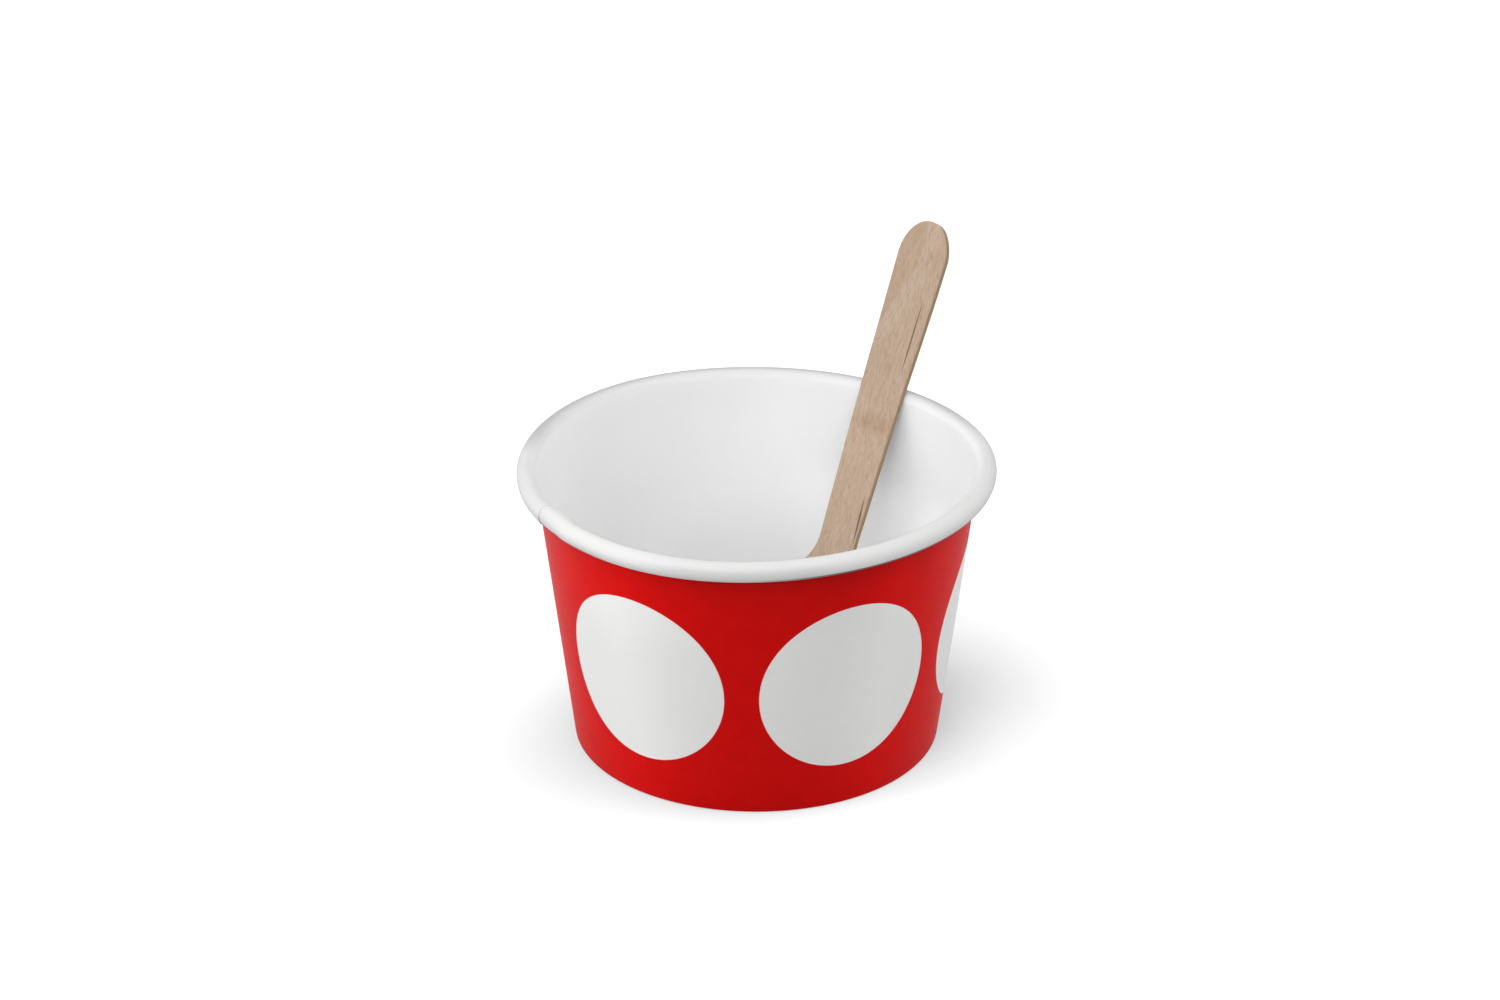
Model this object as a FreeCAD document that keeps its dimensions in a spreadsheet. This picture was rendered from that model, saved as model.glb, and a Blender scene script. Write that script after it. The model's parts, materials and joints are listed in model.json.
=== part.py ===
import FreeCAD, Part
import math
import os
import Sketcher

# Paper ice cream cup with a flat wooden spoon standing in it, in millimetres.
# +Z is up, the origin is on the table under the middle of the cup, -Y faces the viewer.
# Turns round the cup are in degrees from +X towards +Y.

SIZES = (
    # Side wall: one sheet of board, folded in and up at the foot, rolled outward at the rim
    ("paper", 0.35),
    ("cup_height", 59.2),
    ("rim_radius", 47.5),
    # where the wall's outer face would reach the table
    ("base_radius", 36.9),
    ("fold_radius", 0.4),
    ("hem_height", 5.2),
    ("roll_radius", 1.95),
    # how far the sheet is rolled round, and the room left where its edge meets the wall again
    ("roll_turn", 332.0),
    ("roll_gap", 0.15),
    # Side seam: the start of the sheet lies on the inner face of its other end
    ("seam_turn", 207.5),
    ("lap_width", 6.0),
    ("lap_fade", 2.6),
    ("lap_fade_edge", 0.04),
    ("lap_under_roll", 255.0),
    ("lap_foot_gap", 0.6),
    # Bottom disc, whose skirt is held between the wall and its hem
    ("disc_top", 7.6),
    ("disc_bend", 0.8),
    ("skirt_foot", 0.65),
    ("seat_gap", 0.05),
    # Spoon, stamped from flat wood
    ("spoon_length", 95.7),
    ("spoon_thickness", 1.3),
    ("handle_width", 11.6),
    # how far the rounded end reaches past the widest part of the handle
    ("handle_end_depth", 7.7),
    ("neck_width", 8.6),
    ("blade_width", 17.0),
    ("blade_length", 27.5),
    ("shoulder_radius", 9.0),
    ("spoon_edge", 0.2),
    # where it stands on the disc, and the turn at which it leans on the rim
    ("foot_across", 9.2),
    ("foot_back", 8.9),
    ("lean_turn", 53.0),
    ("rest_gap", 0.05),
)

# Lengths and angles that follow from the sizes, each from those above it
WORKED = (
    # middle of the rim's roll: its height and its distance from the axis
    ("roll_height", "sizes.cup_height - sizes.roll_radius"),
    ("roll_reach", "sizes.rim_radius - sizes.roll_radius"),
    # the wall's slope, which makes its inner face run on into the roll
    ("flare", "roll_reach - sizes.base_radius"),
    ("taper", "acos((sizes.roll_radius - sizes.paper) / sqrt(flare^2 + roll_height^2))"
              " - atan(roll_height / flare)"),
    ("roll_step", "(sizes.paper + sizes.roll_gap) / 2"),
    ("tuck_turn", "sizes.roll_turn * 1 deg"),
    ("under_turn", "sizes.lap_under_roll * 1 deg"),
    # how deep the skirt and the hem lie behind the wall's outer face
    ("skirt_depth", "sizes.paper + sizes.seat_gap"),
    ("hem_depth", "skirt_depth + sizes.paper + sizes.seat_gap"),
    ("lap_foot", "sizes.disc_top + sizes.lap_foot_gap"),
    ("lap_start", "sizes.seam_turn * 1 deg"),
    ("lap_angle", "sizes.lap_width / sizes.rim_radius * 1 rad"),
    ("fade_start", "lap_start + lap_angle"),
    ("fade_end", "fade_start + sizes.lap_fade / sizes.rim_radius * 1 rad"),
    # drop in half width from blade to neck, and the length its two curves take together
    ("shoulder_drop", "(sizes.blade_width - sizes.neck_width) / 2"),
    ("shoulder_run", "sqrt(4 * shoulder_drop * sizes.shoulder_radius - shoulder_drop^2)"),
    ("shoulder_foot", "sizes.blade_length - shoulder_run"),
    # the handle's end as half an oval of three arcs, which meet on lines square to its diagonal
    ("end_start", "sizes.spoon_length - sizes.handle_end_depth"),
    ("end_diagonal", "sqrt(sizes.handle_end_depth^2 + (sizes.handle_width / 2)^2)"),
    ("end_excess", "sizes.handle_end_depth - sizes.handle_width / 2"),
    ("tip_radius", "end_diagonal * (end_diagonal - end_excess) / (2 * sizes.handle_end_depth)"),
    ("side_radius", "end_diagonal * (end_diagonal + end_excess) / sizes.handle_width"),
    ("tip_middle", "sizes.spoon_length - tip_radius"),
    # the spoon's slope: its back face passes the roll clear by the rest gap and by
    # the depth that the round rim has across half of the handle
    ("rim_sag", "((sizes.handle_width + sizes.neck_width) / 4)^2 / (2 * roll_reach)"),
    ("rim_clear", "sizes.roll_radius + sizes.rest_gap + rim_sag"),
    ("foot_height", "sizes.disc_top + sizes.rest_gap"),
    ("foot_out", "sizes.foot_across * cos(sizes.lean_turn * 1 deg)"
                 " + sizes.foot_back * sin(sizes.lean_turn * 1 deg)"),
    ("foot_aside", "sizes.foot_back * cos(sizes.lean_turn * 1 deg)"
                   " - sizes.foot_across * sin(sizes.lean_turn * 1 deg)"),
    ("lean_run", "roll_reach - foot_out"),
    ("lean_rise", "roll_height - foot_height"),
    ("lean", "acos(rim_clear / sqrt(lean_run^2 + lean_rise^2)) - atan(lean_rise / lean_run)"),
)

ROUND = ("worked.roll_reach", "worked.roll_height")
ROUND_AGAIN = ("worked.roll_reach + worked.roll_step * cos(worked.taper)",
               "worked.roll_height - worked.roll_step * sin(worked.taper)")


def fill_sheet(document, name, rows, formulas):
    """Writes one named cell a row, as a plain number or as a formula."""
    sheet = document.addObject("Spreadsheet::Sheet", name)
    for row, (alias, value) in enumerate(rows, start=1):
        cell = "A%d" % row
        sheet.set(cell, "=" + value if formulas else str(value))
        sheet.setAlias(cell, alias)
    document.recompute()
    return sheet


def number(owner, formula):
    """The value of a formula as a plain number."""
    value = owner.evalExpression(formula)
    return float(getattr(value, "Value", value))


def on_wall(depth, height):
    """A point at a height over the table and a depth behind the wall's outer face."""
    across = ("sizes.base_radius + (%s) * tan(worked.taper) - (%s) / cos(worked.taper)"
              % (height, depth))
    return across, height


def on_round(centre, radius, turn):
    """A point on a circle, turned from its side next to the wall over the top of the rim."""
    angle = "180 deg - worked.taper - (%s)" % turn
    return ("%s + (%s) * cos(%s)" % (centre[0], radius, angle),
            "%s + (%s) * sin(%s)" % (centre[1], radius, angle))


def tie_point(sketch, item, end, place):
    """Ties an end or centre in a sketch to the formulas for its two coordinates."""
    for kind, axis, formula in zip(("DistanceX", "DistanceY"), (-2, -1), place):
        if formula is None:
            continue
        value = number(sketch, formula)
        if abs(value) < 1e-9:
            sketch.addConstraint(Sketcher.Constraint("PointOnObject", item, end, axis))
            continue
        pair = (-1, 1, item, end) if value > 0 else (item, end, -1, 1)
        index = sketch.addConstraint(Sketcher.Constraint(kind, *pair, abs(value)))
        sketch.setExpression("Constraints[%d]" % index, formula if value > 0 else "-(%s)" % formula)


def draw_outline(sketch, path):
    """Draws a closed outline.

    Each row of the path is a point and the side that runs on from it: None for a
    straight one, or the arc's centre and +1 for anticlockwise or -1 for clockwise.
    """
    spots = [FreeCAD.Vector(number(sketch, across), number(sketch, up), 0) for (across, up), _ in path]
    up_axis = FreeCAD.Vector(0, 0, 1)
    ends = []
    for index, (_, side) in enumerate(path):
        first, last = spots[index], spots[(index + 1) % len(path)]
        if side is None:
            sketch.addGeometry(Part.LineSegment(first, last), False)
            ends.append((1, 2))
            continue
        centre = FreeCAD.Vector(number(sketch, side[0][0]), number(sketch, side[0][1]), 0)
        forward = side[1] > 0
        low, high = (first, last) if forward else (last, first)
        angles = [math.atan2(spot.y - centre.y, spot.x - centre.x) for spot in (low, high)]
        if angles[1] <= angles[0]:
            angles[1] += 2 * math.pi
        circle = Part.Circle(centre, up_axis, (first - centre).Length)
        sketch.addGeometry(Part.ArcOfCircle(circle, angles[0], angles[1]), False)
        ends.append((1, 2) if forward else (2, 1))
    for index, (place, side) in enumerate(path):
        before = index - 1 if index else len(path) - 1
        tie_point(sketch, index, ends[index][0], place)
        sketch.addConstraint(Sketcher.Constraint("Coincident", before, ends[before][1],
                                                 index, ends[index][0]))
        if side is not None:
            # the centre lies on the line midway between the arc's ends, so one coordinate fixes it
            chord = spots[(index + 1) % len(path)] - spots[index]
            flat = abs(chord.y) > abs(chord.x)
            tie_point(sketch, index, 3, (side[0][0], None) if flat else (None, side[0][1]))


def origin_part(body, role):
    """One of the body's own origin planes or axes."""
    return next(part for part in body.Origin.OriginFeatures if part.Role == role)


def new_sketch(body, name, plane, turn=None):
    """A sketch on an origin plane, turned about the upright axis where a turn is given."""
    sketch = body.newObject("Sketcher::SketchObject", name)
    sketch.AttachmentSupport = [(origin_part(body, plane), "")]
    sketch.MapMode = "FlatFace"
    if turn is not None:
        start = FreeCAD.Rotation(FreeCAD.Vector(0, 1, 0), number(sketch, turn))
        sketch.AttachmentOffset = FreeCAD.Placement(FreeCAD.Vector(), start)
        sketch.setExpression(".AttachmentOffset.Rotation.Angle", turn)
    return sketch


def revolve(body, name, sketch, angle):
    """Turns a section about the cup's axis, all round or through a formula's angle."""
    ring = body.newObject("PartDesign::Revolution", name)
    ring.Profile = sketch
    ring.ReferenceAxis = (origin_part(body, "Z_Axis"), [""])
    ring.Angle = 360
    if angle:
        ring.setExpression("Angle", angle)
    sketch.Visibility = False
    return ring


def fold_centre(depth):
    """Middle of a rounded corner of the foot, at a depth behind the wall's outer face."""
    return on_wall(depth, "sizes.fold_radius")


def beside(centre, radius, sign):
    """The point where a rounded corner runs on into the wall's slope, out (+) or in (-)."""
    return ("%s %s (%s) * cos(worked.taper)" % (centre[0], sign, radius),
            "%s %s (%s) * sin(worked.taper)" % (centre[1], "-" if sign == "+" else "+", radius))


def make_side_wall(document):
    """The sheet: hem, fold, sloping wall and rolled rim, with the lap of its side seam."""
    body = document.addObject("PartDesign::Body", "side_wall")
    sketch = new_sketch(body, "sheet_section", "XZ_Plane")
    hem_inner = "worked.hem_depth + sizes.paper"
    inner_fold = fold_centre("%s - sizes.fold_radius" % hem_inner)
    outer_fold = fold_centre("sizes.fold_radius")
    roll = "sizes.roll_radius"
    second = "sizes.roll_radius - worked.roll_step"
    draw_outline(sketch, (
        (on_wall(hem_inner, "sizes.hem_height"), None),
        (beside(inner_fold, "sizes.fold_radius", "-"), (inner_fold, 1)),
        ((inner_fold[0], "0"), None),
        ((outer_fold[0], "0"), (outer_fold, 1)),
        (beside(outer_fold, "sizes.fold_radius", "+"), None),
        (on_round(ROUND, roll + " - sizes.paper", "0 deg"), (ROUND, -1)),
        (on_round(ROUND, roll + " - sizes.paper", "180 deg"), (ROUND_AGAIN, -1)),
        (on_round(ROUND_AGAIN, second + " - sizes.paper", "worked.tuck_turn"), None),
        (on_round(ROUND_AGAIN, second, "worked.tuck_turn"), (ROUND_AGAIN, 1)),
        (on_round(ROUND_AGAIN, second, "180 deg"), (ROUND, 1)),
        (on_round(ROUND, roll, "0 deg"), None),
        (on_wall("sizes.paper", "sizes.paper"), None),
        (on_wall("worked.hem_depth", "sizes.paper"), None),
        (on_wall("worked.hem_depth", "sizes.hem_height"), None),
    ))
    document.recompute()
    revolve(body, "sheet", sketch, None)
    document.recompute()
    lap = draw_lap_section(body, "lap_section", "worked.lap_start", "sizes.paper")
    document.recompute()
    revolve(body, "lap", lap, "worked.lap_angle")
    document.recompute()
    near = draw_lap_section(body, "fade_near_section", "worked.fade_start", "sizes.paper")
    far = draw_lap_section(body, "fade_far_section", "worked.fade_end", "sizes.lap_fade_edge")
    document.recompute()
    fade = body.newObject("PartDesign::AdditiveLoft", "lap_fade")
    fade.Profile = near
    fade.Sections = [(far, [""])]
    fade.Ruled = True
    document.recompute()
    return body


def draw_lap_section(body, name, turn, proud):
    """The lapped layer's section: it stands proud of the inner face and of the rim's roll."""
    sketch = new_sketch(body, name, "XZ_Plane", turn)
    inner = "sizes.paper / 2"
    roll = "sizes.roll_radius"
    second = "sizes.roll_radius - worked.roll_step"
    draw_outline(sketch, (
        (on_wall(inner, "worked.lap_foot"), None),
        (on_wall("sizes.paper + " + proud, "worked.lap_foot"), None),
        (on_round(ROUND, "%s + %s" % (roll, proud), "0 deg"), (ROUND, -1)),
        (on_round(ROUND, "%s + %s" % (roll, proud), "180 deg"), (ROUND_AGAIN, -1)),
        (on_round(ROUND_AGAIN, "%s + %s" % (second, proud), "worked.under_turn"), None),
        (on_round(ROUND_AGAIN, "%s - %s" % (second, inner), "worked.under_turn"), (ROUND_AGAIN, 1)),
        (on_round(ROUND, "%s - %s" % (roll, inner), "180 deg"), (ROUND, 1)),
        (on_round(ROUND, "%s - %s" % (roll, inner), "0 deg"), None),
    ))
    return sketch


def make_bottom_disc(document):
    """The disc that closes the cup, bent down at its edge into a skirt beside the wall."""
    body = document.addObject("PartDesign::Body", "bottom_disc")
    sketch = new_sketch(body, "disc_section", "XZ_Plane")
    bend = on_wall("worked.skirt_depth + sizes.disc_bend", "sizes.disc_top - sizes.disc_bend")
    inner_bend = "sizes.disc_bend - sizes.paper"
    draw_outline(sketch, (
        (("0", "sizes.disc_top"), None),
        ((bend[0], "sizes.disc_top"), (bend, -1)),
        (beside(bend, "sizes.disc_bend", "+"), None),
        (on_wall("worked.skirt_depth", "sizes.skirt_foot"), None),
        (on_wall("worked.skirt_depth + sizes.paper", "sizes.skirt_foot"), None),
        (beside(bend, inner_bend, "+"), (bend, 1)),
        ((bend[0], "sizes.disc_top - sizes.paper"), None),
        (("0", "sizes.disc_top - sizes.paper"), None),
    ))
    document.recompute()
    revolve(body, "disc", sketch, None)
    document.recompute()
    return body


def make_spoon(document, worked, sizes):
    """A flat spoon: long rounded handle end, waisted neck and broad blade with a round end."""
    body = document.addObject("PartDesign::Body", "spoon")
    sketch = new_sketch(body, "spoon_outline", "XY_Plane")
    half_blade, half_neck, half_handle = ("sizes.blade_width / 2", "sizes.neck_width / 2",
                                          "sizes.handle_width / 2")
    end_side = (half_handle + " - worked.side_radius", "worked.end_start")
    end_tip = ("worked.tip_radius * sizes.handle_end_depth / worked.end_diagonal",
               "worked.tip_middle + worked.tip_radius * %s / worked.end_diagonal" % half_handle)
    lower = ("sizes.blade_width / 2 - sizes.shoulder_radius", "worked.shoulder_foot")
    upper = ("sizes.neck_width / 2 + sizes.shoulder_radius", "sizes.blade_length")
    middle = ("(sizes.blade_width + sizes.neck_width) / 4",
              "sizes.blade_length - worked.shoulder_run / 2")

    def mirrored(place):
        return "-(%s)" % place[0], place[1]

    draw_outline(sketch, (
        ((half_blade, half_blade), None),
        ((half_blade, "worked.shoulder_foot"), (lower, 1)),
        (middle, (upper, -1)),
        ((half_neck, "sizes.blade_length"), None),
        ((half_handle, "worked.end_start"), (end_side, 1)),
        (end_tip, (("0", "worked.tip_middle"), 1)),
        (mirrored(end_tip), (mirrored(end_side), 1)),
        (mirrored((half_handle, "worked.end_start")), None),
        (mirrored((half_neck, "sizes.blade_length")), (mirrored(upper), -1)),
        (mirrored(middle), (mirrored(lower), 1)),
        (mirrored((half_blade, "worked.shoulder_foot")), None),
        (mirrored((half_blade, half_blade)), (("0", half_blade), 1)),
    ))
    document.recompute()
    board = body.newObject("PartDesign::Pad", "spoon_board")
    board.Profile = sketch
    board.setExpression("Length", "sizes.spoon_thickness")
    sketch.Visibility = False
    document.recompute()
    rims = ["Edge%d" % place for place, edge in enumerate(board.Shape.Edges, start=1)
            if edge.BoundBox.ZLength < sizes.spoon_thickness / 2]
    soft = body.newObject("PartDesign::Fillet", "spoon_soft_edges")
    soft.Base = (board, rims)
    soft.setExpression("Radius", "sizes.spoon_edge")
    document.recompute()
    body.Placement = lean_spoon(worked, sizes)
    document.recompute()
    return body


def lean_spoon(worked, sizes):
    """Stands the spoon's round end on the disc and leans its back face on the rim.

    The back face's plane holds the rim's own direction at the lean turn and climbs
    steepest straight outward. The round end's lowest point is at the foot, and the
    spoon's middle line crosses the rim at the lean turn.
    """
    turn = math.radians(sizes.lean_turn)
    lean = math.radians(worked.lean.Value)
    outward = FreeCAD.Vector(math.cos(turn), math.sin(turn), 0)
    along_rim = FreeCAD.Vector(-math.sin(turn), math.cos(turn), 0)
    steepest = outward * math.sin(lean) + FreeCAD.Vector(0, 0, math.cos(lean))
    foot = outward * worked.foot_out + along_rim * worked.foot_aside
    foot.z = worked.foot_height
    climb = math.sqrt(worked.lean_run ** 2 + worked.lean_rise ** 2 - worked.rim_clear ** 2)
    end_radius = sizes.blade_width / 2
    middle_line = steepest * (climb - end_radius) - along_rim * worked.foot_aside
    middle_line.normalize()
    front = outward * -math.cos(lean) + FreeCAD.Vector(0, 0, math.sin(lean))
    across = middle_line.cross(front)
    start = foot + steepest * end_radius - middle_line * end_radius
    return FreeCAD.Placement(start, FreeCAD.Rotation(across, middle_line, front, "ZXY"))


def check_and_write(document, pieces):
    """Stops on a failed object or a bad shape, then writes one STEP file a piece."""
    for thing in document.Objects:
        if "Invalid" in thing.State or "Error" in thing.State:
            raise RuntimeError("%s failed: %s" % (thing.Name, thing.State))
    os.makedirs("parts", exist_ok=True)
    for piece in pieces:
        if piece.Shape.isNull() or not piece.Shape.isValid() or len(piece.Shape.Solids) != 1:
            raise RuntimeError("%s has no sound single solid" % piece.Label)
    for piece in pieces:
        piece.Shape.exportStep("parts/%s.step" % piece.Label)


def main():
    document = FreeCAD.newDocument("ice_cream_cup")
    sizes = fill_sheet(document, "sizes", SIZES, False)
    worked = fill_sheet(document, "worked", WORKED, True)
    pieces = (make_side_wall(document), make_bottom_disc(document),
              make_spoon(document, worked, sizes))
    check_and_write(document, pieces)


main()
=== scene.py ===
import json
import math

import bmesh
import bpy
import numpy as np
from mathutils import Matrix, Vector

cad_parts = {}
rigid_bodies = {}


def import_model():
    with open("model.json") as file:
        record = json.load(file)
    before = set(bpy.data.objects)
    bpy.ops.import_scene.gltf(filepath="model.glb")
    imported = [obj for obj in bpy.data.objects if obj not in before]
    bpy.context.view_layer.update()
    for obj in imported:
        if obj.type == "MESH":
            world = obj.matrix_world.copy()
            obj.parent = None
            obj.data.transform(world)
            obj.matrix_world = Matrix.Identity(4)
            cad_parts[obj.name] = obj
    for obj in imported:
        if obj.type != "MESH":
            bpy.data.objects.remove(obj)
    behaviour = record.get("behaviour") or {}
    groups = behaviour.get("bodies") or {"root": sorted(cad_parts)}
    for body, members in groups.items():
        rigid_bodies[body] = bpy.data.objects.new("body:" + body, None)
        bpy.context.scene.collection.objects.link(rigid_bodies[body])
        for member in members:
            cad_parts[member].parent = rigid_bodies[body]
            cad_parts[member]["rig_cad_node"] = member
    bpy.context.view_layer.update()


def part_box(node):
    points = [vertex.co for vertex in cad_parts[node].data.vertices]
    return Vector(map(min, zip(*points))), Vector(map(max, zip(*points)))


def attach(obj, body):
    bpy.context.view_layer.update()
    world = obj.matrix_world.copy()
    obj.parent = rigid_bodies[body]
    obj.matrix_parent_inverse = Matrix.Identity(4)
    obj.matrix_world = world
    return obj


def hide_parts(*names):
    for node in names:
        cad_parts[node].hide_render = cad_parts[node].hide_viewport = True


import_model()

# Paper ice cream cup with a flat wooden spoon, dressed for a studio picture.
# Lengths in the sizes below are millimetres unless a comment says otherwise, and MM turns
# them into metres where a mesh or a material is made.
# Turns round the cup are degrees from +X towards +Y, and -Y faces the viewer.

MM = 0.001

# Side wall and bottom disc, the same sizes as the solids they stand for
WALL_HIGH = np.array(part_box("side_wall")[1]) / MM
PAPER = 0.35
RIM_RADIUS = WALL_HIGH[0]
CUP_HEIGHT = WALL_HIGH[2] - PAPER
BASE_RADIUS = 36.9
FOLD_RADIUS = 0.4
HEM_HEIGHT = 5.2
ROLL_RADIUS = 1.95
ROLL_TURN = 332.0
ROLL_GAP = 0.15
SEAT_GAP = 0.05
SEAM_TURN = 207.5
LAP_WIDTH = 6.0
LAP_FADE = 2.6
LAP_UNDER_ROLL = 255.0
LAP_FOOT_GAP = 0.6
DISC_TOP = 7.6
DISC_BEND = 0.8
SKIRT_FOOT = 0.65

ROLL_REACH = RIM_RADIUS - ROLL_RADIUS
ROLL_HEIGHT = CUP_HEIGHT - ROLL_RADIUS
FLARE = ROLL_REACH - BASE_RADIUS
TAPER = (math.acos((ROLL_RADIUS - PAPER) / math.hypot(FLARE, ROLL_HEIGHT))
         - math.atan2(ROLL_HEIGHT, FLARE))
ROLL_STEP = (PAPER + ROLL_GAP) / 2
HEM_DEPTH = 2 * PAPER + 2 * SEAT_GAP

# Spoon
SPOON_LENGTH = 95.7
SPOON_THICKNESS = 1.3
HANDLE_WIDTH = 11.6
HANDLE_END_DEPTH = 7.7
NECK_WIDTH = 8.6
BLADE_WIDTH = 17.0
BLADE_LENGTH = 27.5
SHOULDER_RADIUS = 9.0
SPOON_EDGE = 0.2
FRONT_EDGE = 0.4
FOOT_ACROSS = 9.2
FOOT_BACK = 8.9
LEAN_TURN = 53.0
REST_GAP = 0.05

# Print: a row of large discs, with a wider plain band where the sheet's ends lap
DISC_COUNT = 5
DISC_PITCH = 62.1
DISC_RADIUS = 18.4
DISC_HEIGHT = 27.6
FIRST_DISC_TURN = 234.9


def clear_scene():
    """Removes the start-up scene's own objects."""
    for thing in list(bpy.data.objects):
        if "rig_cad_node" not in thing and not thing.name.startswith("body:"):
            bpy.data.objects.remove(thing)


def smooth_step(low, high, value):
    """Rises from 0 at low to 1 at high with flat ends: 3 t^2 - 2 t^3."""
    share = np.clip((value - low) / (high - low), 0.0, 1.0)
    return share * share * (3.0 - 2.0 * share)


def make_piece(name, points, faces, material, node, values=None):
    """A mesh object from points in millimetres, standing for one CAD node."""
    mesh = bpy.data.meshes.new(name)
    mesh.from_pydata((points * MM).tolist(), [], faces.tolist())
    for key, data in (values or {}).items():
        kind = "FLOAT_VECTOR" if data.ndim == 2 else "FLOAT"
        layer = mesh.attributes.new(key, kind, "POINT")
        layer.data.foreach_set("vector" if data.ndim == 2 else "value",
                               data.astype(np.float32).ravel())
    mesh.shade_smooth()
    mesh.materials.append(material)
    piece = bpy.data.objects.new(name, mesh)
    bpy.context.scene.collection.objects.link(piece)
    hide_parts(node)
    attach(piece, "root")
    return piece


def grid_faces(rows, columns, close_rows, close_columns):
    """Quads of a grid stored row by row, closed round either way where asked."""
    last_row = rows if close_rows else rows - 1
    last_column = columns if close_columns else columns - 1
    row, column = np.meshgrid(np.arange(last_row), np.arange(last_column), indexing="ij")
    next_row, next_column = (row + 1) % rows, (column + 1) % columns
    quads = np.stack([row * columns + column, row * columns + next_column,
                      next_row * columns + next_column, next_row * columns + column], -1)
    return quads.reshape(-1, 4)


def on_wall(depth, height):
    """Radius and height of a point behind the wall's outer face by a depth.

    The radius is the base's, plus height * tan(taper), less depth / cos(taper).
    """
    height = np.asarray(height, float)
    return np.stack([BASE_RADIUS + height * math.tan(TAPER) - depth / math.cos(TAPER), height], -1)


def on_arc(centre, radius, turns):
    """Points on a circle at angles in radians, anticlockwise from outward."""
    return np.stack([centre[0] + radius * np.cos(turns), centre[1] + radius * np.sin(turns)], -1)


def roll_angle(turn):
    """Angle of a turn over the rim's roll, counted from its side next to the wall."""
    return math.pi - TAPER - np.radians(turn)


# how close the extra rows stand to a sheet's sharp edges, so that these shade crisply
EDGE_CROWD = 0.03


def between(first, last, count, crowd=0.0):
    """Heights from first to last, both included, with one more close to each end."""
    steps = np.linspace(first, last, count)
    if crowd:
        lean = math.copysign(crowd, last - first)
        steps = np.concatenate([steps[:1], [first + lean], steps[1:-1], [last - lean], steps[-1:]])
    return steps


# turns over the roll, in degrees: where the roll's painted shade sets in, where painted
# shade on its lower half and on its underside sets in, and where the lapped layer sinks from
# proud of the roll into it
ROLL_SHADE_START, ROLL_SHADE_FULL = 20.0, 80.0
LOWER_START, LOWER_FULL = 132.0, 158.0
UNDER_START, UNDER_FULL = 203.0, 214.0
LAP_SINK_START, LAP_SINK_END = 90.0, 190.0
LAP_SINK = 1.5
# how much fuller the roll is on its underside than a true circle, and where over the roll
UNDER_SWELL = 0.17
SWELL_SETS_IN = (180.0, 235.0)
SWELL_FADES = (270.0, 320.0)


def sheet_section():
    """The folded sheet's outline: radius, height, lift of the lap, print, turn over the roll.

    It runs from the hem's top down its inner face, round the fold, up the outer face,
    round the inside of the roll, back over the outside of the roll, down the inner
    face, along the inside of the fold and up the hem again.
    """
    hem_inner = HEM_DEPTH + PAPER
    inner_fold = on_wall(hem_inner - FOLD_RADIUS, FOLD_RADIUS)
    outer_fold = on_wall(FOLD_RADIUS, FOLD_RADIUS)
    first = np.array([ROLL_REACH, ROLL_HEIGHT])
    second = first + ROLL_STEP * np.array([math.cos(TAPER), -math.sin(TAPER)])
    half = np.linspace(0, 180, 19)
    rest = np.linspace(180, ROLL_TURN, 20)
    fold_top = FOLD_RADIUS * (1 - math.sin(TAPER))
    hem_fold_top = FOLD_RADIUS * (1 + math.sin(TAPER))
    roll_foot = ROLL_HEIGHT + (ROLL_RADIUS - PAPER) * math.sin(TAPER)
    inner_foot = ROLL_HEIGHT + ROLL_RADIUS * math.sin(TAPER)
    lap_foot = DISC_TOP + LAP_FOOT_GAP
    back, back_half = rest[::-1], half[::-1][1:]
    sunk = 1.0 - LAP_SINK * smooth_step(LAP_SINK_START, LAP_SINK_END, back_half)
    sunk_under = np.where(back <= LAP_UNDER_ROLL, 1.0 - LAP_SINK, 0.0)
    swell = UNDER_SWELL * smooth_step(*SWELL_SETS_IN, back) * (1 - smooth_step(*SWELL_FADES, back))
    # each stretch: its points, the lap's lift (1 where it lies a sheet proud), 1 where it is
    # printed, and the turn over the roll
    stretches = []

    def stretch(points, lift=0.0, printed=0.0, rolled=0.0):
        marks = [np.broadcast_to(mark, len(points)) for mark in (lift, printed, rolled)]
        stretches.append(np.column_stack([points] + marks))

    stretch(on_wall(hem_inner, between(HEM_HEIGHT, hem_fold_top, 4, EDGE_CROWD)))
    stretch(on_arc(inner_fold, FOLD_RADIUS, np.linspace(math.pi - TAPER, 1.5 * math.pi, 6)[1:]))
    stretch(on_arc(outer_fold, FOLD_RADIUS, np.linspace(-0.5 * math.pi, -TAPER, 7)), printed=1.0)
    stretch(on_wall(0.0, np.linspace(fold_top, roll_foot, 26)[1:]), printed=1.0)
    stretch(on_arc(first, ROLL_RADIUS - PAPER, roll_angle(half[1:])), printed=1.0)
    stretch(on_arc(second, ROLL_RADIUS - ROLL_STEP - PAPER, roll_angle(rest[1:])), printed=1.0)
    stretch(on_arc(second, ROLL_RADIUS - ROLL_STEP + swell, roll_angle(back)), lift=sunk_under,
            rolled=back)
    stretch(on_arc(first, ROLL_RADIUS, roll_angle(back_half)), lift=sunk, rolled=back_half)
    stretch(on_wall(PAPER, between(inner_foot, lap_foot, 24)[1:]), lift=1.0)
    stretch(on_wall(PAPER, between(lap_foot - EDGE_CROWD, PAPER, 8, EDGE_CROWD)))
    stretch(on_wall(HEM_DEPTH, between(PAPER, HEM_HEIGHT, 4, EDGE_CROWD)))
    return np.concatenate(stretches)


def section_normals(section):
    """Unit normals of a closed section, to the outer side of its sheet."""
    along = np.roll(section, -1, 0) - np.roll(section, 1, 0)
    normal = np.column_stack([along[:, 1], -along[:, 0]])
    return normal / np.maximum(np.linalg.norm(normal, axis=1, keepdims=True), 1e-9)


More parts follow.
